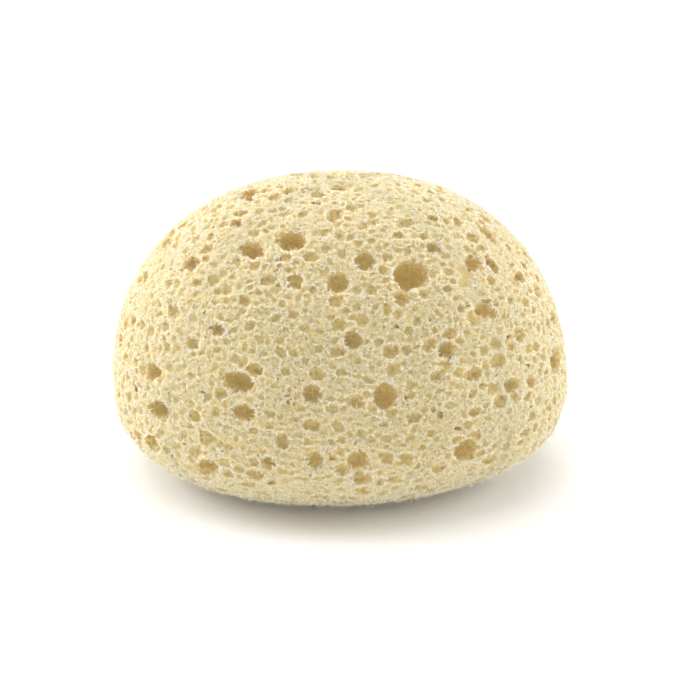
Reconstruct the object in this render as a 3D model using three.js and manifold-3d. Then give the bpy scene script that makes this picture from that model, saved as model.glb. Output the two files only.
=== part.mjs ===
// A natural bath sponge: one bun-shaped growth, full of round pores and cut flat where it grew on the rock.
// Millimetres. +Z is up, the long side runs along X, and the cut base lies on z = 0 under the middle.

import * as THREE from 'three';
import { mergeVertices } from 'three/addons/utils/BufferGeometryUtils.js';
import Module from 'manifold-3d';

// The bun.
const WIDTH = 140;
const DEPTH = 114;
const HEIGHT = 90;
const WIDEST_LEVEL = 26; // height of the widest level above the cut base
const UNDERSIDE_REACH = 32; // how far below the widest level the underside would close if it weren't cut
const CROWN_SQUARENESS = 2.22; // 2 is an ellipse, more is squarer
const UNDERSIDE_SQUARENESS = 2.1;
const PLAN_SQUARENESS = 2.2;
const BASE_OFFSET_X = -2.5; // the cut base sits a little to the left of the crown
const CROWN_STEPS = 14;
const UNDERSIDE_STEPS = 6;
const TURN_STEPS = 48;

// Broad swellings of the outline. Each is centred on a direction seen from the middle of the bun.
const SWELLINGS = [
  { longitude: 70, latitude: -18, spread: 16, rise: 1.3 },
  { longitude: 38, latitude: -14, spread: 12, rise: -1.2 },
  { longitude: -85, latitude: -8, spread: 18, rise: -0.9 },
  { longitude: -30, latitude: 78, spread: 20, rise: 0.7 },
  { longitude: 150, latitude: 20, spread: 26, rise: 1.4 },
  { longitude: -140, latitude: 35, spread: 24, rise: -1.2 },
];

// Pores.
const MIDDLE = new THREE.Vector3(0, 0, 30); // directions to the pores are seen from here
const PORE_DEPTH = 0.8; // depth below the surface as a share of the mean mouth size
const PORE_SINK = 0.35; // how far a pore's centre lies below the surface, as a share of its depth
const LARGE_PORE = 7.5; // pores at least this wide are cut with the finer sphere
const LARGE_DETAIL = 2; // subdivisions of the sphere that cuts a large pore
const SMALL_DETAIL = 1;
const WALL = 2; // least wall left between two neighbouring pores
const BASE_MARGIN = 4; // height of the band above the base that stays whole

// The large pores of the front, by direction in degrees (longitude 0 faces the front, latitude 90 is up),
// with the width and height of the mouth, and its slant.
const FRONT_PORES = [
  { longitude: 28, latitude: 46, width: 10, height: 8.5 },
  { longitude: -24, latitude: 57, width: 8, height: 6.5 },
  { longitude: -1, latitude: 46, width: 6.5, height: 6 },
  { longitude: 4, latitude: 30, width: 5.5, height: 5.5 },
  { longitude: 11, latitude: 52, width: 6, height: 6 },
  { longitude: 32, latitude: 24, width: 5.5, height: 5 },
  { longitude: -39, latitude: 51, width: 8, height: 5 },
  { longitude: -29, latitude: 16, width: 9, height: 5.5, slant: -10 },
  { longitude: -27, latitude: 8, width: 7, height: 4.5 },
  { longitude: 13, latitude: 14, width: 6.5, height: 7.5 },
  { longitude: -8, latitude: 15, width: 5.5, height: 5.5 },
  { longitude: -7, latitude: -5, width: 5, height: 5.5 },
  { longitude: -38, latitude: -10, width: 7.5, height: 5, slant: 25 },
  { longitude: -52, latitude: 3, width: 8, height: 5.5 },
  { longitude: -56, latitude: 12, width: 5.5, height: 5.5 },
  { longitude: -59, latitude: 41, width: 6, height: 4.5 },
  { longitude: 48, latitude: 31, width: 6, height: 5 },
  { longitude: 22, latitude: 40, width: 5, height: 5 },
  { longitude: 54, latitude: 43, width: 6, height: 5 },
  { longitude: 36, latitude: -5, width: 7.5, height: 6.5 },
  { longitude: 5, latitude: -5, width: 6, height: 6.5 },
  { longitude: 50, latitude: 10, width: 5.5, height: 4.5 },
  { longitude: 75, latitude: 46, width: 8, height: 4.5, slant: 60 },
  { longitude: 0, latitude: 84, width: 5.5, height: 6 },
];

// The rest of the large pores are scattered round the sides, back and crown.
const FRONT_HALF_WIDTH = 64; // degrees of longitude that the listed pores cover, to either side
const FRONT_HIGHEST = 74; // degrees of latitude that the listed pores reach
const SCATTER_LOWEST = -16; // degrees of latitude
const SCATTER_DRAWS = 400;
const SCATTER_PORES = 32;
const SCATTER_SMALLEST = 4.5;
const SCATTER_LARGEST = 9.5;
const SEED = 41;

const SPONGE_COLOUR = 0xd9c799;
const WELD_DISTANCE = 1e-4;
const BASE_TOLERANCE = 1e-6; // a point no higher than this lies in the cut base
const SIMPLIFY_TOLERANCE = 0.03; // slivers flatter than this are merged into their neighbours

/** Unit vector of a direction in degrees, longitude 0 facing -Y and turning towards +X. */
function direction(longitude, latitude) {
  const lon = THREE.MathUtils.degToRad(longitude);
  const lat = THREE.MathUtils.degToRad(latitude);
  return new THREE.Vector3(Math.sin(lon) * Math.cos(lat), -Math.cos(lon) * Math.cos(lat), Math.sin(lat));
}

/** Radius of a unit superellipse quarter at a share of its height. */
function quarter(share, squareness) {
  return Math.pow(Math.max(0, 1 - Math.pow(share, squareness)), 1 / squareness);
}

/** The bun's profile from the middle of the base to the top, with radius 1 at the widest level. */
function bunProfile() {
  const baseRadius = quarter(WIDEST_LEVEL / UNDERSIDE_REACH, UNDERSIDE_SQUARENESS);
  const profile = [new THREE.Vector2(0, 0), new THREE.Vector2(baseRadius / 2, 0)];
  for (let step = 0; step < UNDERSIDE_STEPS; step += 1) {
    const level = (WIDEST_LEVEL * step) / UNDERSIDE_STEPS;
    const radius = quarter((WIDEST_LEVEL - level) / UNDERSIDE_REACH, UNDERSIDE_SQUARENESS);
    profile.push(new THREE.Vector2(radius, level));
  }
  for (let step = 0; step < CROWN_STEPS; step += 1) {
    const share = Math.pow(Math.sin((Math.PI / 2) * (step / CROWN_STEPS)), 2 / CROWN_SQUARENESS);
    const level = WIDEST_LEVEL + (HEIGHT - WIDEST_LEVEL) * share;
    profile.push(new THREE.Vector2(quarter(share, CROWN_SQUARENESS), level));
  }
  profile.push(new THREE.Vector2(0, HEIGHT));
  return profile;
}

/** How far the outline swells in a direction. */
function swellingAt(point) {
  const seen = point.clone().sub(MIDDLE).normalize();
  let rise = 0;
  for (const swelling of SWELLINGS) {
    const apart = THREE.MathUtils.radToDeg(seen.angleTo(direction(swelling.longitude, swelling.latitude)));
    rise += swelling.rise * Math.exp(-0.5 * (apart / swelling.spread) ** 2);
  }
  return rise;
}

/** Moves a point of the round, unit-wide bun onto the sponge's own plan and swellings. */
function shapePoint(point) {
  const turn = Math.atan2(point.y, point.x);
  const radius = Math.hypot(point.x, point.y);
  const across = Math.sign(Math.cos(turn)) * Math.pow(Math.abs(Math.cos(turn)), 2 / PLAN_SQUARENESS);
  const along = Math.sign(Math.sin(turn)) * Math.pow(Math.abs(Math.sin(turn)), 2 / PLAN_SQUARENESS);
  const lowness = Math.pow(Math.max(0, 1 - point.z / WIDEST_LEVEL), 1.5);
  point.x = (WIDTH / 2) * radius * across + BASE_OFFSET_X * lowness;
  point.y = (DEPTH / 2) * radius * along;
  const outward = point.clone().sub(MIDDLE);
  if (point.z < BASE_TOLERANCE) outward.setZ(0);
  return point.addScaledVector(outward.normalize(), swellingAt(point) * Math.min(1, radius * 2));
}

/** The whole bun before any pore is cut, as one welded closed surface centred over the origin. */
function bunGeometry() {
  const geometry = new THREE.LatheGeometry(bunProfile(), TURN_STEPS);
  geometry.rotateX(Math.PI / 2);
  const welded = weld(geometry);
  const position = welded.attributes.position;
  const point = new THREE.Vector3();
  for (let index = 0; index < position.count; index += 1) {
    point.fromBufferAttribute(position, index);
    shapePoint(point);
    position.setXYZ(index, point.x, point.y, point.z);
  }
  welded.computeBoundingBox();
  const centre = welded.boundingBox.getCenter(new THREE.Vector3());
  return welded.translate(-centre.x, -centre.y, 0);
}

/** Merges equal vertices and leaves out triangles that have closed up, as at a lathe's poles. */
function weld(geometry) {
  const bare = geometry.clone();
  bare.deleteAttribute('normal');
  bare.deleteAttribute('uv');
  const welded = mergeVertices(bare, WELD_DISTANCE);
  const corners = welded.index.array;
  const kept = [];
  for (let first = 0; first < corners.length; first += 3) {
    const [a, b, c] = corners.slice(first, first + 3);
    if (a !== b && b !== c && c !== a) kept.push(a, b, c);
  }
  welded.setIndex(kept);
  return welded;
}

/** Turns a closed geometry into a solid that can be cut. */
function solidOf(wasm, geometry) {
  const welded = weld(geometry);
  return new wasm.Manifold(new wasm.Mesh({
    numProp: 3,
    vertProperties: new Float32Array(welded.attributes.position.array),
    triVerts: new Uint32Array(welded.index.array),
  }));
}

/** The point and outward normal of the bun's surface in a direction. */
function surfaceIn(bun, longitude, latitude) {
  const towards = direction(longitude, latitude);
  const outside = MIDDLE.clone().addScaledVector(towards, WIDTH);
  const ray = new THREE.Raycaster(outside, towards.clone().negate());
  const hit = ray.intersectObject(bun)[0];
  return { point: hit.point, normal: hit.face.normal };
}

/** A pore with its place on the surface worked out. */
function placed(bun, pore) {
  const { point, normal } = surfaceIn(bun, pore.longitude, pore.latitude);
  return { slant: 0, ...pore, point, normal, reach: Math.max(pore.width, pore.height) / 2 };
}

/** Whether a pore keeps its wall to all the others and leaves the band above the base whole. */
function hasRoom(pore, others) {
  if (pore.point.z - pore.reach < BASE_MARGIN) return false;
  return others.every((other) => other.point.distanceTo(pore.point) > other.reach + pore.reach + WALL);
}

/** Whether a direction lies on the part of the surface that the listed front pores cover. */
function facesFront(longitude, latitude) {
  return Math.abs(longitude) < FRONT_HALF_WIDTH && latitude < FRONT_HIGHEST;
}

/** Large pores of the sides, back and crown, scattered by a seeded draw wherever there is room. */
function scatteredPores(bun, taken) {
  THREE.MathUtils.seededRandom(SEED);
  const random = (low, high) => low + (high - low) * THREE.MathUtils.seededRandom();
  const lowest = Math.sin(THREE.MathUtils.degToRad(SCATTER_LOWEST));
  const scattered = [];
  for (let draw = 0; draw < SCATTER_DRAWS && scattered.length < SCATTER_PORES; draw += 1) {
    const longitude = random(-180, 180);
    const latitude = THREE.MathUtils.radToDeg(Math.asin(random(lowest, 1)));
    const width = random(SCATTER_SMALLEST, SCATTER_LARGEST);
    const height = width * random(0.65, 1);
    const pore = placed(bun, { longitude, latitude, width, height, slant: random(-30, 30) });
    if (!facesFront(longitude, latitude) && hasRoom(pore, [...taken, ...scattered])) scattered.push(pore);
  }
  return scattered;
}

/** The ellipsoid that cuts one pore: its mouth lies on the surface and it narrows to a rounded end. */
function poreCutter(pore) {
  const depth = PORE_DEPTH * ((pore.width + pore.height) / 2);
  const halfDepth = depth / (1 + PORE_SINK);
  const mouth = Math.sqrt(1 - PORE_SINK ** 2); // share of the full width left at the surface
  const detail = Math.max(pore.width, pore.height) >= LARGE_PORE ? LARGE_DETAIL : SMALL_DETAIL;
  const geometry = new THREE.IcosahedronGeometry(1, detail);
  geometry.scale(pore.width / 2 / mouth, pore.height / 2 / mouth, halfDepth);
  geometry.rotateZ(THREE.MathUtils.degToRad(pore.slant));
  const level = new THREE.Vector3(0, 0, 1).cross(pore.normal);
  if (level.lengthSq() < 1e-6) level.set(1, 0, 0);
  level.normalize();
  const upright = pore.normal.clone().cross(level);
  const centre = pore.point.clone().addScaledVector(pore.normal, -halfDepth * PORE_SINK);
  const frame = new THREE.Matrix4().makeBasis(level, upright, pore.normal).setPosition(centre);
  return geometry.applyMatrix4(frame);
}

/** A three.js geometry of a finished solid. */
function geometryOf(solid) {
  const mesh = solid.getMesh();
  const geometry = new THREE.BufferGeometry();
  geometry.setAttribute('position', new THREE.BufferAttribute(new Float32Array(mesh.vertProperties), 3));
  geometry.setIndex(new THREE.BufferAttribute(new Uint32Array(mesh.triVerts), 1));
  geometry.computeVertexNormals();
  return geometry;
}

const wasm = await Module();
wasm.setup();

const bunShape = bunGeometry();
const bun = new THREE.Mesh(bunShape);
const frontPores = FRONT_PORES.map((pore) => placed(bun, pore));
const pores = [...frontPores, ...scatteredPores(bun, frontPores)];
const body = pores
  .reduce((solid, pore) => solid.subtract(solidOf(wasm, poreCutter(pore))), solidOf(wasm, bunShape))
  .simplify(SIMPLIFY_TOLERANCE);

const sponge = new THREE.Mesh(
  geometryOf(body),
  new THREE.MeshStandardMaterial({ color: SPONGE_COLOUR, roughness: 0.95, metalness: 0 }),
);
sponge.name = 'sponge';

const part = new THREE.Group();
part.name = 'sea_sponge';
part.add(sponge);

export default part;
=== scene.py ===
"""A natural bath sponge: a bun-shaped growth full of round pores, cut flat where it grew on the rock.

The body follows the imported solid. A distance field of that solid gets thousands of small pores and a crinkled
skin, and is turned back into a mesh. Loose fibres are laid over the skin and round the rims of the pores.
Lengths inside the field are in millimetres; every Blender object is in metres.
"""

import math

import bmesh
import bpy
import numpy as np
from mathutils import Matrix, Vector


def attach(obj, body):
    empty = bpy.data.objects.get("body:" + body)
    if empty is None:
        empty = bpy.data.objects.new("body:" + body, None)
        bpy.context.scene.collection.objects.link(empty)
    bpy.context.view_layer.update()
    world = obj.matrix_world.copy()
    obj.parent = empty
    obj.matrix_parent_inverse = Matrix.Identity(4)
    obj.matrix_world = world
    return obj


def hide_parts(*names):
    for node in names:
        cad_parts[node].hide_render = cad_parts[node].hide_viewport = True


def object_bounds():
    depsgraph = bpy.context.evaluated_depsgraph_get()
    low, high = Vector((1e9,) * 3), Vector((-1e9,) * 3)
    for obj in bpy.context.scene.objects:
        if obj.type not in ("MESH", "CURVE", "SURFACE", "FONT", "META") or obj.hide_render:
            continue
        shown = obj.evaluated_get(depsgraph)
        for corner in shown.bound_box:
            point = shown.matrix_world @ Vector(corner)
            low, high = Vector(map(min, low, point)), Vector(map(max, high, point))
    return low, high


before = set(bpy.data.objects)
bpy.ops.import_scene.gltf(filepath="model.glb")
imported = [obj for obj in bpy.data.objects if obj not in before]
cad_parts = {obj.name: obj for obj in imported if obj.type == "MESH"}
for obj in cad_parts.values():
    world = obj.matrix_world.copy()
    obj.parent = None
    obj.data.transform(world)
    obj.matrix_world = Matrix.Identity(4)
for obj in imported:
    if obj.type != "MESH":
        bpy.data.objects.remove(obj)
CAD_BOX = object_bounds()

import openvdb
from mathutils import Vector
from mathutils.kdtree import KDTree

MM = 0.001
NODE = "sponge"
SEED = 7

# The distance field.
VOXEL = 0.28
COARSE = 2  # voxels of the fine field along one voxel of the coarse field
FIELD_BAND = 5.0  # how far from the surface the distances are true
MARGIN = 4  # empty coarse voxels round the field
CREASES = [((1.5, 1.5, 1.1), 0.42), ((0.8, 0.8, 0.7), 0.36)]  # spacing along X, Y and Z, depth
WAVES = ((3.5, 3.5, 1.2), 0.16)
GRAIN = ((0.45, 0.45, 0.45), 0.11)
SWELL = 0.2  # how far the skin is moved out, to make up for the creases

# Pores of middling size on the front, by the direction in which they lie from the middle of the body:
# longitude 0 faces -Y and turns towards +X, latitude 90 is up. Then the width and height of the mouth.
MIDDLE = np.array([0.0, 0.0, 30.0])
FRONT_PORES = [
    (-17, 45, 4.6, 4.9),
    (-25, 20, 6.0, 4.0),
    (-20, -6, 5.0, 4.4),
    (-44, 23, 4.6, 4.0),
    (-57, 56, 5.4, 4.3),
    (-38, 28, 5.4, 3.6),
    (61, 40, 3.7, 7.0),
    (6, -11, 6.0, 5.0),
    (70, 33, 5.0, 4.0),
    (-16, 1, 4.5, 4.8),
    (42, 51, 4.5, 4.4),
    (-75, 64, 5.0, 3.0),
    (-55, -7, 7.0, 5.5),
]
# Pores by class: number over the whole sponge, narrowest and widest mouth, how far two of them may run into
# each other as a share of the newcomer's radius, and depth as a share of the radius.
PORE_CLASSES = [
    (320, 3.3, 5.2, 0.15, 0.75),
    (720, 2.4, 3.4, 0.2, 0.7),
    (1700, 1.7, 2.4, 0.25, 0.6),
    (2600, 0.9, 1.6, 0.3, 0.5),
]
PITS = 44000
PIT_NARROWEST = 0.5
PIT_WIDEST = 0.85
PIT_SINKS = (-0.2, 0.6)  # how far a pit's middle lies below the skin, as a share of its radius
PIT_STRETCHES = (0.7, 1.3)
DEEP_HOLES = 90  # narrow dark holes that run straight in
DEEP_HOLE_DEPTH = 1.5
DEEP_HOLE_RADII = (0.4, 0.8)
DEEP_HOLE_SINK = 0.6
PORE_SINK = 0.1  # how far a pore's middle lies below the skin, as a share of its radius
PORE_SLANT = 30  # spread of the angles by which pores are turned about their way in, in degrees
PORE_OVALS = (0.65, 1.0)  # height of a mouth as a share of its width
FRONT_PORE_SINK = 0.2
WALL_WOBBLE = 0.22  # unevenness of a pore's wall, as a share of its radius
WOBBLE_SPACING = (1.0, 1.0, 1.0)
CARVE_REACH = 1.3  # how far out a pore's cut is worked out, as a share of its largest radius
DRAWS_PER_PORE = 6
ROOM_PITCH = 2 * VOXEL  # grid on which the room between the pores is noted
ROOM_REACH = 2.6  # how far round a pore its distance is noted
FREE_ROOM = 9.0  # the room noted where no pore is near
SKIN_DEPTH = 1.2  # anything deeper below the hull belongs to the inside of a large pore
DEPTH_RANGE = 5.0  # the depth below the hull that the mark "depth" gives as 1

# Fibres: how many, and the range of their lengths and widths. RIM_DEPTH and PORE_DEPTH are values of "depth".
RIM_HAIRS = 3800
RIM_HAIR_LENGTHS = (0.4, 1.6)
RIM_HAIR_WIDTHS = (0.1, 0.22)
RIM_DEPTH = 0.12  # a hair of a rim starts on skin no deeper than this
PORE_DEPTH = 0.46  # anything deeper lies well inside a large pore
PORE_SAMPLES = 20000  # points inside the large pores that stand for their hollows
SKIN_SAMPLES_PER_HAIR = 28  # few points of the skin lie near a rim
RIM_WIDTH = 2.3  # how near to the inside of a large pore a hair of its rim grows
SKIN_FIBRES = 30000
SKIN_FIBRE_LENGTHS = (0.5, 1.6)
SKIN_FIBRE_WIDTHS = (0.06, 0.12)
SKIN_FIBRE_LIFT = 0.04  # how far off the skin a fibre starts
TIP_NEARNESS = 0.3  # how near to the skin the tip of a fibre has to be
FUZZ_HAIRS = 36000
FUZZ_LENGTHS = (0.3, 0.9)
FUZZ_WIDTHS = (0.07, 0.11)
FUZZ_RISES = (0.8, 2.2)  # how steeply fuzz stands off the skin
LONG_STATIONS = [0.0, 0.4, 0.75, 1.0]  # where along a fibre its points lie
SHORT_STATIONS = [0.0, 0.5, 1.0]
TRIANGLES = 680000
# The body is stored in sectors about the upright axis: name, middle and width in degrees.
SECTORS = [
    ("front", 0, 96),
    ("right", 90, 84),
    ("back", 180, 96),
    ("left", -90, 84),
]

# Light can't pass inside the tissue from one sector to the next, so it sinks in less near a sector's edge.
EDGE_PLAIN = 0.5  # millimetres from the edge where it doesn't sink in
EDGE_FADE = 4.0  # millimetres beyond those over which it comes to sink in fully

rng = np.random.default_rng(SEED)


# ---------------------------------------------------------------- surfaces and fields

def triangles_of(mesh):
    """The corner points (millimetres) and triangles of a mesh, with equal points merged."""
    points = np.empty(len(mesh.vertices) * 3, dtype=np.float32)
    mesh.vertices.foreach_get("co", points)
    points = np.round(points.reshape(-1, 3).astype(np.float64) / MM, 4)
    mesh.calc_loop_triangles()
    corners = np.empty(len(mesh.loop_triangles) * 3, dtype=np.int32)
    mesh.loop_triangles.foreach_get("vertices", corners)
    merged, place = np.unique(points, axis=0, return_inverse=True)
    return merged, place.reshape(-1)[corners].reshape(-1, 3)


def convex_hull(points):
    """The points and triangles of the convex hull round some points."""
    hull = bmesh.new()
    for point in points:
        hull.verts.new(point)
    bmesh.ops.convex_hull(hull, input=hull.verts)
    bmesh.ops.delete(hull, geom=[vert for vert in hull.verts if not vert.link_faces], context="VERTS")
    bmesh.ops.triangulate(hull, faces=hull.faces)
    hull.verts.index_update()
    places = np.array([vert.co[:] for vert in hull.verts])
    corners = np.array([[vert.index for vert in face.verts] for face in hull.faces])
    hull.free()
    return places, corners


def distance_field(points, corners, lowest, shape, pitch):
    """Signed distance to a closed surface on a grid, in millimetres, negative inside."""
    grid = openvdb.FloatGrid.createLevelSetFromPolygons(
        (points - lowest) / pitch,
        triangles=corners.astype(np.uint32),
        transform=openvdb.createLinearTransform(voxelSize=1.0),
        halfWidth=FIELD_BAND / pitch,
    )
    field = np.empty(shape, dtype=np.float32)
    grid.copyToArray(field)
    return field * pitch


def refined(coarse):
    """A coarse field brought to the fine grid by straight interpolation."""
    for axis in range(3):
        place = np.arange((coarse.shape[axis] - 1) * COARSE) / COARSE
        low = place.astype(int)
        share = (place - low).astype(np.float32).reshape([-1 if k == axis else 1 for k in range(3)])
        coarse = np.take(coarse, low, axis) * (1 - share) + np.take(coarse, low + 1, axis) * share
    return coarse


def stretched(coarse, shape, axis):
    """Eased interpolation of a coarse array along one axis, to a new length."""
    place = np.linspace(0, coarse.shape[axis] - 1.001, shape[axis])
    low = place.astype(int)
    share = (place - low).astype(np.float32)
    share = share * share * (3 - 2 * share)
    size = [1, 1, 1]
    size[axis] = -1
    share = share.reshape(size)
    return np.take(coarse, low, axis) * (1 - share) + np.take(coarse, low + 1, axis) * share


def noise_field(shape, spacing):
    """Smooth random values of about -1 to 1 with lumps of the given size in millimetres, along X, Y and Z."""
    counts = [max(3, int(shape[axis] * VOXEL / spacing[axis]) + 2) for axis in range(3)]
    field = rng.uniform(-1, 1, counts).astype(np.float32)
    for axis in (2, 1, 0):
        field = stretched(field, shape, axis)
    return field


def blurred(field, radius):
    """A field smoothed twice by a box filter of the given radius in voxels."""
    for axis in (0, 1, 2):
        for _ in range(2):
            padded = np.concatenate(
                [np.take(field, [0] * (radius + 1), axis), field, np.take(field, [-1] * radius, axis)], axis)
            total = np.cumsum(padded, axis=axis, dtype=np.float32)
            width = 2 * radius + 1
            upper = np.take(total, range(width, total.shape[axis]), axis)
            lower = np.take(total, range(0, total.shape[axis] - width), axis)
            field = (upper - lower) / width
    return field


def sampled(field, points, lowest, pitch):
    """The values of a field at some points, from the nearest voxels."""
    index = np.rint((points - lowest) / pitch).astype(int)
    index = np.clip(index, 0, np.array(field.shape) - 1)
    return field[index[:, 0], index[:, 1], index[:, 2]]


def tree_of(points):
    """A search tree over some points."""
    tree = KDTree(len(points))
    for index, point in enumerate(points):
        tree.insert(point, index)
    tree.balance()
    return tree


# ---------------------------------------------------------------- pores

def scatter(points, corners, count):
    """Random places on a surface with the surface's normals there."""
    a, b, c = (points[corners[:, k]] for k in range(3))
    cross = np.cross(b - a, c - a)
    area = np.linalg.norm(cross, axis=1)
    pick = rng.choice(len(corners), count, p=area / area.sum())
    u, v = rng.random((2, count, 1))
    fold = u + v > 1
    u, v = np.where(fold, 1 - u, u), np.where(fold, 1 - v, v)
    place = a[pick] + u * (b - a)[pick] + v * (c - a)[pick]
    return place, cross[pick] / area[pick, None]


def box_round(place, reach, shape, pitch, lowest):
    """The box of voxels round a place, and their distances from the place along X, Y and Z."""
    low = np.maximum(((place - reach - lowest) / pitch).astype(int), 0)
    high = np.minimum(((place + reach - lowest) / pitch).astype(int) + 2, shape)
    box = tuple(slice(a, b) for a, b in zip(low, high))
    away = [
        (np.arange(low[k], high[k], dtype=np.float32) * pitch + lowest[k] - place[k]).reshape(
            [-1 if axis == k else 1 for axis in range(3)])
        for k in range(3)
    ]
    return box, away


def carve(field, wobble, centre, normal, radii, lowest, slant=0.0):
    """Cuts one pore: an ellipsoid about its normal, turned by a slant in degrees, with an uneven wall."""
    box, (x, y, z) = box_round(centre, max(radii) * CARVE_REACH, field.shape, VOXEL, lowest)
    side = np.cross(normal, [0.0, 0.0, 1.0])
    side = side / (np.linalg.norm(side) + 1e-9)
    up = np.cross(side, normal)
    along, across = math.cos(math.radians(slant)), math.sin(math.radians(slant))
    side, up = side * along + up * across, up * along - side * across
    parts = [
        (x * axis[0] + y * axis[1] + z * axis[2]) / radius
        for axis, radius in zip((side, up, normal), radii)
    ]
    far = np.sqrt(parts[0] ** 2 + parts[1] ** 2 + parts[2] ** 2)
    mean = (radii[0] + radii[1]) / 2
    cut = (1 - far + wobble[box] * WALL_WOBBLE) * mean
    np.maximum(field[box], cut, out=field[box])


def add_pits(field, hull_field, points, corners, lowest):
    """Pricks the skin with tiny round pits, wherever they fall outside the large pores."""
    places, normals = scatter(points, corners, PITS)
    on_skin = sampled(hull_field, places, lowest, VOXEL * COARSE) > -SKIN_DEPTH
    places, normals = places[on_skin], normals[on_skin]
    radii = rng.uniform(PIT_NARROWEST, PIT_WIDEST, len(places)).astype(np.float32) / 2
    sinks = rng.uniform(*PIT_SINKS, len(places))
    centres = places - normals * (radii * sinks)[:, None] - lowest
    stretch = rng.uniform(*PIT_STRETCHES, (len(places), 3))
    reach = int(PIT_WIDEST / 2 * CARVE_REACH / VOXEL) + 1
    offsets = np.stack(np.meshgrid(*[np.arange(-reach, reach + 1)] * 3, indexing="ij"), -1).reshape(-1, 3)
    middle = np.rint(centres / VOXEL).astype(int)
    for offset in offsets:
        voxel = np.clip(middle + offset, 0, np.array(field.shape) - 1)
        apart = (voxel * VOXEL - centres) / stretch
        cut = radii - np.sqrt((apart ** 2).sum(axis=1)).astype(np.float32)
        np.maximum.at(field, (voxel[:, 0], voxel[:, 1], voxel[:, 2]), cut)


def add_deep_holes(field, hull_field, points, corners, lowest, wobble):
    """Bores a few narrow holes into the skin, deeper than they are wide, so that they look dark."""
    places, normals = scatter(points, corners, DEEP_HOLES)
    depths = -sampled(hull_field, places, lowest, VOXEL * COARSE)
    radii = rng.uniform(*DEEP_HOLE_RADII, DEEP_HOLES)
    for place, normal, depth, radius in zip(places, normals, depths, radii):
        if depth < SKIN_DEPTH:
            centre = place - normal * DEEP_HOLE_SINK
            carve(field, wobble, centre, normal, (radius, radius * 0.8, DEEP_HOLE_DEPTH), lowest)


def add_pores(field, hull_field, points, corners, lowest):
    """Fills the skin with pores: those of known place, then the rest from large to small where they fit."""
    wobble = noise_field(field.shape, WOBBLE_SPACING)
    depth_here = -sampled(hull_field, points, lowest, VOXEL * COARSE)
    insides = tree_of(points[depth_here > SKIN_DEPTH])
    room = np.full([size // 2 + 1 for size in field.shape], FREE_ROOM, dtype=np.float32)
    add_front_pores(field, hull_field, lowest, wobble, room)
    for count, narrowest, widest, overlap, deep in PORE_CLASSES:
        places, normals = scatter(points, corners, count * DRAWS_PER_PORE)
        depths = -sampled(hull_field, places, lowest, VOXEL * COARSE)
        sizes = rng.uniform(narrowest, widest, len(places)) / 2
        ovals = rng.uniform(*PORE_OVALS, len(places))
        slants = rng.normal(0, PORE_SLANT, len(places))
        made = 0
        for place, normal, depth, radius, oval, slant in zip(places, normals, depths, sizes, ovals, slants):
            if made == count:
                break
            spot = tuple(((place - lowest) / ROOM_PITCH + 0.5).astype(int))
            cuts_into_base = place[2] < radius * 0.8 and normal[2] > -0.5
            in_large_pore = depth > SKIN_DEPTH or insides.find(place)[2] < radius * 0.9
            if cuts_into_base or in_large_pore or room[spot] < radius * (1 - overlap):
                continue
            centre = place - normal * radius * PORE_SINK
            stretch = math.sqrt(oval)
            radii = (radius / stretch, radius * stretch, radius * deep)
            carve(field, wobble, centre, normal, radii, lowest, slant)
            fill_room(room, place, radius, lowest)
            made += 1
    add_deep_holes(field, hull_field, points, corners, lowest, wobble)


def add_front_pores(field, hull_field, lowest, wobble, room):
    """Cuts the pores of middling size whose places on the front are known."""
    for longitude, latitude, width, height in FRONT_PORES:
        place, normal = hull_spot(hull_field, longitude, latitude, lowest)
        radius = (width + height) / 4
        centre = place - normal * radius * FRONT_PORE_SINK
        carve(field, wobble, centre, normal, (width / 2, height / 2, radius), lowest)
        fill_room(room, place, radius, lowest)


def hull_spot(hull_field, longitude, latitude, lowest):
    """Where the line from the middle of the body in a direction leaves the hull, and the way out there."""
    turn, rise = math.radians(longitude), math.radians(latitude)
    ray = np.array([math.sin(turn) * math.cos(rise), -math.cos(turn) * math.cos(rise), math.sin(rise)])
    places = MIDDLE + np.arange(0, 90, 0.25)[:, None] * ray
    outside = sampled(hull_field, places, lowest, VOXEL * COARSE) > 0
    place = places[outside.argmax()]
    return place, outward_normals(place[None], hull_field, lowest)[0]


def fill_room(room, place, radius, lowest):
    """Notes how far each spot round a new pore is from its rim."""
    box, (x, y, z) = box_round(place, radius + ROOM_REACH, room.shape, ROOM_PITCH, lowest)
    np.minimum(room[box], np.sqrt(x ** 2 + y ** 2 + z ** 2) - radius, out=room[box])


# ---------------------------------------------------------------- meshes

def mesh_from(name, points, faces):
    """A mesh from points in millimetres and faces that all have the same number of corners."""
    mesh = bpy.data.meshes.new(name)
    size = faces.shape[1]
    mesh.vertices.add(len(points))
    mesh.vertices.foreach_set("co", (points * MM).astype(np.float32).ravel())
    mesh.loops.add(faces.size)
    mesh.loops.foreach_set("vertex_index", faces.astype(np.int32).ravel())
    mesh.polygons.add(len(faces))
    mesh.polygons.foreach_set("loop_start", np.arange(0, faces.size, size, dtype=np.int32))
    mesh.polygons.foreach_set("use_smooth", np.ones(len(faces), dtype=bool))
    mesh.update(calc_edges=True)
    return mesh


def largest_piece(points, faces):
    """Only the faces joined to the largest connected surface, and the points that they use."""
    label = np.arange(len(points))
    ends = np.concatenate([faces[:, [k, (k + 1) % faces.shape[1]]] for k in range(faces.shape[1])])
    while True:
        lowest = label.copy()
        np.minimum.at(lowest, ends[:, 0], label[ends[:, 1]])
        np.minimum.at(lowest, ends[:, 1], label[ends[:, 0]])
        lowest = lowest[lowest]
        if np.array_equal(lowest, label):
            break
        label = lowest
    counts = np.bincount(label)
    keep = label == counts.argmax()
    new_index = np.cumsum(keep) - 1
    return points[keep], new_index[faces[keep[faces[:, 0]]]]


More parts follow.
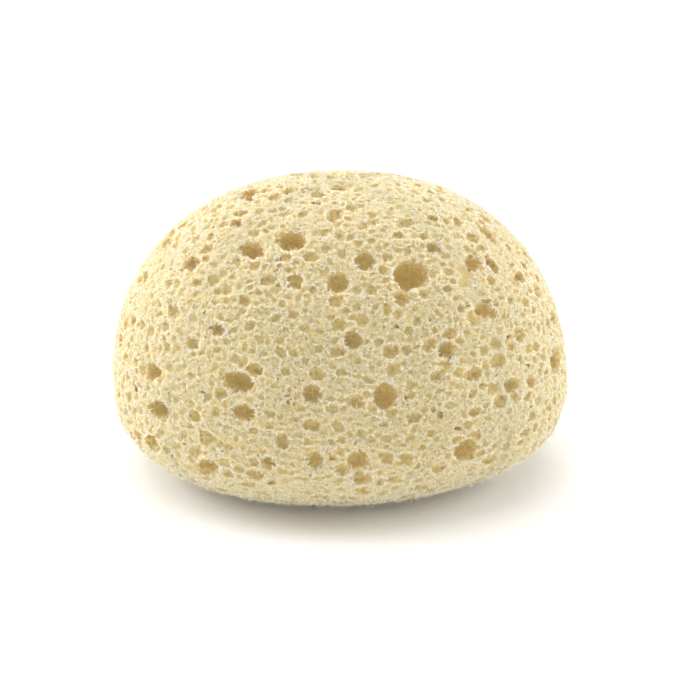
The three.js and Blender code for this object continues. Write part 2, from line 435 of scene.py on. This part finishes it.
def decimated(mesh, triangles):
    """The mesh reduced to about the given number of triangles."""
    obj = bpy.data.objects.new("decimate", mesh)
    bpy.context.scene.collection.objects.link(obj)
    reduce = obj.modifiers.new("reduce", "DECIMATE")
    reduce.ratio = min(1.0, triangles / (2 * len(mesh.polygons)))
    made = bpy.data.meshes.new_from_object(obj.evaluated_get(bpy.context.evaluated_depsgraph_get()))
    bpy.data.objects.remove(obj)
    return made


def wrapped(turns):
    """Angles in degrees brought between -180 and 180."""
    return (turns + 180) % 360 - 180


def turn_and_rise(points):
    """The direction of points from the middle of the body: degrees about the upright axis, degrees up."""
    x, y, z = (points - MIDDLE).T
    return np.degrees(np.arctan2(x, -y)), np.degrees(np.arctan2(z, np.hypot(x, y)))


def lay_out(mesh, turns, rises):
    """Lays a mesh out flat for baking its colours: the turn, from -1 to 1, across and the rise upwards."""
    places = np.stack([0.5 + np.clip(turns, -1, 1) / 2, 0.5 + rises / 180], axis=1)
    corners = np.empty(len(mesh.loops), dtype=np.int32)
    mesh.loops.foreach_get("vertex_index", corners)
    mesh.uv_layers.new(name="OFBake").data.foreach_set("uv", places[corners].astype(np.float32).ravel())


def sector_mesh(name, middle, width, points, faces, normals, marks):
    """One sector of the body as a mesh of its own, with the whole body's normals and marks."""
    turns = wrapped(turn_and_rise(points[faces].mean(axis=1))[0] - middle)
    chosen = (turns >= -width / 2) & (turns < width / 2)
    used = np.unique(faces[chosen])
    new_index = np.full(len(points), -1)
    new_index[used] = np.arange(len(used))
    part = mesh_from(name, points[used], new_index[faces[chosen]])
    turns, rises = turn_and_rise(points[used])
    turns = wrapped(turns - middle)
    lay_out(part, turns / (width / 2), rises)
    to_edge = np.radians(width / 2 - np.abs(turns)) * np.hypot(points[used, 0], points[used, 1])
    marks = {**marks, "inner": np.zeros(len(points))}
    marks["inner"][used] = np.clip((to_edge - EDGE_PLAIN) / EDGE_FADE, 0, 1)
    part.normals_split_custom_set_from_vertices(normals[used])
    for mark, values in marks.items():
        part.attributes.new(mark, "FLOAT", "POINT").data.foreach_set("value", values[used].astype(np.float32))
    return part


def body_field():
    """The field of the whole sponge, the coarse field of its hull, and the lowest corner of both grids."""
    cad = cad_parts[NODE].data
    points, corners = triangles_of(cad)
    pitch = VOXEL * COARSE
    lowest = points.min(axis=0) - MARGIN * pitch
    shape = np.ceil((points.max(axis=0) - lowest) / pitch).astype(int) + MARGIN + 1
    field = refined(blurred(distance_field(points, corners, lowest, shape, pitch), 1))
    hull_field = distance_field(*convex_hull(points), lowest, shape, pitch)
    add_pores(field, hull_field, points, corners, lowest)
    for spacing, depth in CREASES:
        field += np.abs(noise_field(field.shape, spacing)) * depth
    spacing, depth = WAVES
    field += noise_field(field.shape, spacing) * depth - SWELL
    add_pits(field, hull_field, points, corners, lowest)
    spacing, depth = GRAIN
    field += noise_field(field.shape, spacing) * depth
    floor = (np.arange(field.shape[2], dtype=np.float32) * VOXEL + lowest[2]).reshape(1, 1, -1)
    np.maximum(field, -floor, out=field)
    return field, hull_field, lowest


def body_surface(field, lowest):
    """Points, triangles and point normals of the field's outer surface."""
    grid = openvdb.FloatGrid(background=float(field.max()))
    grid.copyFromArray(field)
    places, quads = grid.convertToQuads(0.0)
    places, quads = largest_piece(places * VOXEL + lowest, quads.astype(np.int64))
    mesh = decimated(mesh_from("whole", places, quads), TRIANGLES)
    points = np.empty(len(mesh.vertices) * 3, dtype=np.float32)
    mesh.vertices.foreach_get("co", points)
    normals = np.empty(len(mesh.vertices) * 3, dtype=np.float32)
    mesh.vertices.foreach_get("normal", normals)
    mesh.calc_loop_triangles()
    faces = np.empty(len(mesh.loop_triangles) * 3, dtype=np.int32)
    mesh.loop_triangles.foreach_get("vertices", faces)
    return points.reshape(-1, 3) / MM, faces.reshape(-1, 3), normals.reshape(-1, 3)


def surface_marks(points, field, hull_field, lowest):
    """What each point of the surface is like: how deep it lies, and how closed in by tissue."""
    pitch = VOXEL * COARSE
    solid = np.clip(0.5 - field[::COARSE, ::COARSE, ::COARSE] / pitch, 0, 1)
    return {
        "depth": np.clip(-sampled(hull_field, points, lowest, pitch) / DEPTH_RANGE, 0, 1),
        "hollow": sampled(blurred(solid, 1), points, lowest, pitch),
    }


# ---------------------------------------------------------------- fibres

def unit(vectors):
    """Vectors brought to length 1."""
    return vectors / np.maximum(np.linalg.norm(vectors, axis=1, keepdims=True), 1e-9)


def ribbons(stations, roots, courses, normals, lengths, widths, curls, lifts):
    """The points of thin curved ribbons that taper to a tip, by ribbon, and their triangles."""
    across = unit(np.cross(courses, normals))
    lean = unit(across + normals * rng.uniform(-0.8, 0.8, (len(roots), 1)))
    points = []
    for share in stations:
        spine = roots + courses * (lengths * share)[:, None]
        spine = spine + across * (curls * lengths * share ** 2)[:, None]
        spine = spine + normals * (lifts * lengths * share)[:, None]
        half = (widths / 2 * (1 - 0.4 * share))[:, None]
        points += [spine - lean * half, spine + lean * half] if share < 1 else [spine]
    points = np.stack(points, axis=1)
    points[..., 2] = np.maximum(points[..., 2], 0)
    strip = range(points.shape[1] - 2)
    pattern = np.array([[k, k + 1, k + 2] if k % 2 == 0 else [k, k + 2, k + 1] for k in strip])
    first = np.arange(len(roots))[:, None, None] * points.shape[1]
    return points, (pattern[None] + first).reshape(-1, 3)


def outward_normals(points, hull_field, lowest):
    """The way out of the sponge at some points."""
    pitch = VOXEL * COARSE
    steps = np.eye(3) * pitch
    return unit(np.stack([
        sampled(hull_field, points + step, lowest, pitch) - sampled(hull_field, points - step, lowest, pitch)
        for step in steps
    ], axis=1).astype(np.float64))


def along_skin(vectors, out):
    """Vectors laid along the skin, brought to length 1, where the ways out of the sponge are given."""
    return unit(vectors - out * (vectors * out).sum(axis=1, keepdims=True))


def rim_hairs(points, outward, marks, count):
    """Pale hairs that reach from the rims out over the mouths of the large pores."""
    deep = rng.permutation(points[marks["depth"] > PORE_DEPTH])[:PORE_SAMPLES]
    tree = tree_of(deep)
    skin = rng.permutation(np.flatnonzero(marks["depth"] < RIM_DEPTH))[:count * SKIN_SAMPLES_PER_HAIR]
    nearest = [tree.find(point) for point in points[skin]]
    at_rim = np.array([spot[2] for spot in nearest]) < RIM_WIDTH
    chosen = skin[at_rim][:count]
    way = np.array([spot[0][:] for spot in nearest])[at_rim][:count] - points[chosen]
    out = outward[chosen]
    way = along_skin(way, out)
    course = unit(way + rng.normal(0, 0.4, way.shape))
    return ribbons(
        LONG_STATIONS, points[chosen], course, out,
        rng.uniform(*RIM_HAIR_LENGTHS, len(chosen)), rng.uniform(*RIM_HAIR_WIDTHS, len(chosen)),
        rng.normal(0, 0.35, len(chosen)), rng.normal(0.05, 0.12, len(chosen)))


def skin_fibres(points, outward, marks, field, lowest, count):
    """Fibres that lie along the walls between the pores, mostly level."""
    on_skin = (marks["hollow"] < 0.54) & (marks["depth"] < 0.2)
    chosen = rng.choice(np.flatnonzero(on_skin), count * 4)
    drift = rng.normal(0, 1, (len(chosen), 3)) * [1.0, 1.0, 0.6]
    out = outward[chosen]
    course = along_skin(drift, out)
    lengths = rng.uniform(*SKIN_FIBRE_LENGTHS, len(chosen))
    curls = rng.normal(0, 0.4, len(chosen))
    tips = points[chosen] + course * lengths[:, None]
    kept = np.flatnonzero(np.abs(sampled(field, tips, lowest, VOXEL)) < TIP_NEARNESS)[:count]
    roots = points[chosen[kept]] + out[kept] * SKIN_FIBRE_LIFT
    return ribbons(
        LONG_STATIONS, roots, course[kept], out[kept],
        lengths[kept], rng.uniform(*SKIN_FIBRE_WIDTHS, len(kept)),
        curls[kept], rng.normal(0.04, 0.1, len(kept)))


def fuzz(points, outward, marks, count):
    """Fine short hairs that stand off the skin everywhere and soften its outline."""
    chosen = rng.choice(np.flatnonzero((marks["hollow"] < 0.5) & (marks["depth"] < 0.12)), count)
    out = outward[chosen]
    drift = rng.normal(0, 1, (count, 3))
    course = along_skin(drift, out)
    return ribbons(
        SHORT_STATIONS, points[chosen], course, out,
        rng.uniform(*FUZZ_LENGTHS, count), rng.uniform(*FUZZ_WIDTHS, count),
        rng.normal(0, 0.5, count), rng.uniform(*FUZZ_RISES, count))


# ---------------------------------------------------------------- materials

# Colour ramps are lists of (position, colour).
SKIN_CREAM = [(0.3, (0.76, 0.68, 0.45)), (0.7, (0.81, 0.74, 0.53))]
# The large pores' ochre tone, darker and warmer with depth as painted shade.
BOWL_TONE_AND_SHADE = [(0.2, (0.91, 0.78, 0.46)), (0.9, (0.89, 0.67, 0.29))]  # by depth, down in the large pores
# Fibrous grain multiplied over the colour, darker in the grooves of the bumps as painted shade.
GRAIN_AND_GROOVE_SHADE = [(0.15, (0.73, 0.69, 0.58)), (0.55, (1.0, 1.0, 1.0))]
FIBRE_PALE = [(0.3, (0.83, 0.76, 0.57)), (0.6, (0.91, 0.89, 0.79))]
FLOOR_WHITE = [(0.3, (0.93, 0.93, 0.925)), (0.7, (0.95, 0.95, 0.945))]
# Ochre of the pits, lifted as painted light for the light that comes through the thin walls.
PIT_OCHRE_AND_LIGHT = (0.89, 0.74, 0.39, 1)
# Painted shade: the dark of clusters of deep holes.
PAINTED_HOLE_SHADE = (0.48, 0.31, 0.16, 1)
# Pale threads on raised ridges, partly a painted highlight where the ridges catch light.
PALE_THREADS_AND_HIGHLIGHT = (0.88, 0.84, 0.70, 1)


def nodes_of(name):
    """A new material with its node tree and its shader."""
    material = bpy.data.materials.new(name)
    material.use_nodes = True
    tree = material.node_tree
    return material, tree, tree.nodes["Principled BSDF"]


def add(tree, kind, inputs=(), **settings):
    """A node with some settings and input values or links."""
    node = tree.nodes.new(kind)
    for key, value in settings.items():
        setattr(node, key, value)
    for socket, value in dict(inputs).items():
        if isinstance(value, bpy.types.NodeSocket):
            tree.links.new(value, node.inputs[socket])
        else:
            node.inputs[socket].default_value = value
    return node


def mixed(tree, factor, first, second, blend="MIX"):
    """A mix of two colours."""
    node = tree.nodes.new("ShaderNodeMix")
    node.data_type = "RGBA"
    node.blend_type = blend
    for index, value in ((0, factor), (6, first), (7, second)):
        if isinstance(value, bpy.types.NodeSocket):
            tree.links.new(value, node.inputs[index])
        else:
            node.inputs[index].default_value = value
    return node.outputs[2]


def ramp(tree, factor, stops):
    """A colour ramp with the given (position, colour) stops."""
    node = add(tree, "ShaderNodeValToRGB", {"Fac": factor})
    band = node.color_ramp
    while len(band.elements) < len(stops):
        band.elements.new(0.5)
    for element, (position, colour) in zip(band.elements, stops):
        element.position = position
        element.color = (*colour, 1)
    return node.outputs["Color"]


def between(tree, value, low, high):
    """0 where a value is at its low end and below, 1 at its high end and above."""
    node = add(tree, "ShaderNodeMapRange", {"Value": value, "From Min": low, "From Max": high})
    return node.outputs["Result"]


def sponge_material():
    """Cream tissue, warmer down in the pores and darker with depth as painted shade, its pits lifted by painted
    light, patches of painted shade for clusters of deep holes, raised ridges paler partly as a painted
    highlight, a fine fibrous grain darkened in its grooves as painted shade, and light that sinks in a little.
    """
    material, tree, shader = nodes_of("sponge_tissue")
    place = add(tree, "ShaderNodeTexCoord").outputs["Object"]
    hollow = add(tree, "ShaderNodeAttribute", attribute_name="hollow").outputs["Fac"]
    depth = add(tree, "ShaderNodeAttribute", attribute_name="depth").outputs["Fac"]
    threads = add(tree, "ShaderNodeTexNoise", {"Vector": place, "Scale": 1700.0, "Detail": 3.0},
                  noise_type="RIDGED_MULTIFRACTAL").outputs["Fac"]
    patch = add(tree, "ShaderNodeTexNoise", {"Vector": place, "Scale": 60.0, "Detail": 2.0}).outputs["Fac"]
    skin = ramp(tree, patch, SKIN_CREAM)
    # Down in the large pores the colour turns to an ochre that darkens with depth: the tissue's tone with
    # painted shade.
    sunk = between(tree, depth, 0.11, 0.22)
    bowl_tone_and_shade = ramp(tree, depth, BOWL_TONE_AND_SHADE)
    colour = mixed(tree, sunk, skin, bowl_tone_and_shade)
    # In the pits a brighter, warmer colour: the tissue's ochre, lifted as painted light for the light that
    # comes through the thin walls.
    pitted = between(tree, hollow, 0.51, 0.64)
    colour = mixed(tree, pitted, colour, PIT_OCHRE_AND_LIGHT)
    # Patches of painted shade in the pits outside the large pores, for the dark of clusters of deep holes.
    hole_shade_noise = add(tree, "ShaderNodeTexNoise", {"Vector": place, "Scale": 150.0, "Detail": 1.0}).outputs["Fac"]
    hole_shade_patches = between(tree, hole_shade_noise, 0.67, 0.72)
    shallow = between(tree, depth, 0.3, 0.15)
    painted_hole_shade_mask = add(tree, "ShaderNodeMath", {0: hole_shade_patches, 1: pitted}, operation="MULTIPLY").outputs["Value"]
    painted_hole_shade_mask = add(tree, "ShaderNodeMath", {0: painted_hole_shade_mask, 1: shallow}, operation="MULTIPLY").outputs["Value"]
    colour = mixed(tree, painted_hole_shade_mask, colour, PAINTED_HOLE_SHADE)
    # Raised ridges paler: the pale threads, partly as a painted highlight where the ridges catch light.
    raised = between(tree, hollow, 0.42, 0.2)
    colour = mixed(tree, raised, colour, PALE_THREADS_AND_HIGHLIGHT)
    # Fibrous grain from the same noise as the bumps, darker in its grooves as painted shade.
    grain_and_groove_shade = ramp(tree, threads, GRAIN_AND_GROOVE_SHADE)
    colour = mixed(tree, 1.0, colour, grain_and_groove_shade, blend="MULTIPLY")
    tree.links.new(colour, shader.inputs["Base Color"])
    shader.inputs["Roughness"].default_value = 0.95
    shader.inputs["Specular IOR Level"].default_value = 0.2
    shader.inputs["Sheen Weight"].default_value = 1.0
    shader.inputs["Sheen Roughness"].default_value = 0.3
    inner = add(tree, "ShaderNodeAttribute", attribute_name="inner").outputs["Fac"]
    tree.links.new(inner, shader.inputs["Subsurface Weight"])
    shader.inputs["Subsurface Radius"].default_value = (1.0, 0.7, 0.35)
    shader.inputs["Subsurface Scale"].default_value = 0.0032
    bump = add(tree, "ShaderNodeBump", {"Height": threads, "Strength": 0.8, "Distance": 0.0004})
    tree.links.new(bump.outputs["Normal"], shader.inputs["Normal"])
    return material


def fibre_material():
    """Pale, dry fibres, some a little browner."""
    material, tree, shader = nodes_of("sponge_fibre")
    place = add(tree, "ShaderNodeTexCoord").outputs["Object"]
    tint = add(tree, "ShaderNodeTexNoise", {"Vector": place, "Scale": 900.0, "Detail": 1.0}).outputs["Fac"]
    colour = ramp(tree, tint, FIBRE_PALE)
    tree.links.new(colour, shader.inputs["Base Color"])
    shader.inputs["Roughness"].default_value = 0.8
    shader.inputs["Specular IOR Level"].default_value = 0.2
    shader.inputs["Sheen Weight"].default_value = 0.4
    return material


def floor_material():
    """A plain, matt, nearly white floor with a trace of unevenness."""
    material, tree, shader = nodes_of("studio_floor")
    place = add(tree, "ShaderNodeTexCoord").outputs["Object"]
    cloud = add(tree, "ShaderNodeTexNoise", {"Vector": place, "Scale": 2.0, "Detail": 1.0}).outputs["Fac"]
    colour = ramp(tree, cloud, FLOOR_WHITE)
    tree.links.new(colour, shader.inputs["Base Color"])
    shader.inputs["Roughness"].default_value = 0.9
    shader.inputs["Specular IOR Level"].default_value = 0.1
    return material


# ---------------------------------------------------------------- studio

CAMERA_ELEVATION = math.radians(22)
CAMERA_DISTANCE = 0.52
CAMERA_LENS = 90
CAMERA_DROP = 0.00575  # how far the camera is aimed below the sponge's middle
FLOOR_RADIUS = 1.5
SURROUND_LIGHT = 0.68  # strength of the light from all round; the camera itself sees it white
LIGHTS_AIM = Vector((0, 0, 0.04))
# Soft square lights: name, place, side in metres, power in watts.
LIGHTS = [
    ("overhead", (-0.3, 0.4, 2.2), 2.6, 36),
    ("left", (-1.2, 0.3, 0.6), 0.8, 13),
    ("right", (1.3, 0.3, 0.5), 0.8, 11),
    ("front", (0.0, -1.6, 0.2), 1.2, 6),
]


def add_camera():
    """A long lens in front of the sponge, a little above it, looking down."""
    ahead = Vector((0, math.cos(CAMERA_ELEVATION), -math.sin(CAMERA_ELEVATION)))
    up = Vector((0, math.sin(CAMERA_ELEVATION), math.cos(CAMERA_ELEVATION)))
    middle = Vector((0, 0, CAD_BOX[1][2] / 2))
    data = bpy.data.cameras.new("camera")
    data.lens = CAMERA_LENS
    data.sensor_width = 36
    data.clip_start = 0.01
    camera = bpy.data.objects.new("camera", data)
    camera.location = middle - up * CAMERA_DROP - ahead * CAMERA_DISTANCE
    camera.rotation_euler = ahead.to_track_quat("-Z", "Y").to_euler()
    bpy.context.scene.collection.objects.link(camera)
    bpy.context.scene.camera = camera


def add_light(name, place, size, power):
    """A square soft light at a place, facing the sponge."""
    data = bpy.data.lights.new(name, "AREA")
    data.size = size
    data.energy = power
    light = bpy.data.objects.new(name, data)
    light.location = place
    light.rotation_euler = (LIGHTS_AIM - Vector(place)).to_track_quat("-Z", "Y").to_euler()
    light.visible_camera = False
    bpy.context.scene.collection.objects.link(light)


def add_studio():
    """A white floor and surround, with soft lights above, at the sides and in front."""
    mesh = bpy.data.meshes.new("floor")
    form = bmesh.new()
    bmesh.ops.create_circle(form, cap_ends=True, segments=96, radius=FLOOR_RADIUS)
    form.to_mesh(mesh)
    form.free()
    floor = bpy.data.objects.new("floor", mesh)
    mesh.materials.append(floor_material())
    bpy.context.scene.collection.objects.link(floor)
    world = bpy.data.worlds.new("surround")
    world.use_nodes = True
    tree = world.node_tree
    tree.nodes["Background"].inputs["Color"].default_value = (1, 1, 1, 1)
    seen = add(tree, "ShaderNodeLightPath").outputs["Is Camera Ray"]
    strength = add(tree, "ShaderNodeMapRange", {"Value": seen, "To Min": SURROUND_LIGHT, "To Max": 1.0})
    tree.links.new(strength.outputs["Result"], tree.nodes["Background"].inputs["Strength"])
    bpy.context.scene.world = world
    for light in LIGHTS:
        add_light(*light)
    bpy.context.scene.view_settings.view_transform = "Standard"


# ---------------------------------------------------------------- assembly

def place_piece(name, mesh, material):
    """Puts a finished mesh into the scene as a piece of the sponge."""
    mesh.materials.append(material)
    piece = bpy.data.objects.new(name, mesh)
    bpy.context.scene.collection.objects.link(piece)
    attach(piece, "root")
    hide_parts(NODE)
    return piece


def place_fibres(name, fibres, material):
    """Puts ribbons into the scene as one piece."""
    points, faces = fibres
    mesh = mesh_from(name, points.reshape(-1, 3), faces)
    turns, rises = turn_and_rise(points.reshape(-1, 3))
    roots = np.repeat(turns[::points.shape[1]], points.shape[1])
    lay_out(mesh, (roots + wrapped(turns - roots)) / 180, rises)
    place_piece(name, mesh, material)


def build_sponge():
    """The body in four sectors, and the fibres on it."""
    field, hull_field, lowest = body_field()
    points, faces, normals = body_surface(field, lowest)
    marks = surface_marks(points, field, hull_field, lowest)
    tissue = sponge_material()
    for name, middle, width in SECTORS:
        mesh = sector_mesh(f"sponge_{name}", middle, width, points, faces, normals, marks)
        assert len(mesh.polygons) < 200000, name
        place_piece(f"sponge_{name}", mesh, tissue)
    outward = outward_normals(points, hull_field, lowest)
    fibre = fibre_material()
    place_fibres("rim_hairs", rim_hairs(points, outward, marks, RIM_HAIRS), fibre)
    place_fibres("skin_fibres", skin_fibres(points, outward, marks, field, lowest, SKIN_FIBRES), fibre)
    place_fibres("fuzz", fuzz(points, outward, marks, FUZZ_HAIRS), fibre)


add_camera()
add_studio()
build_sponge()
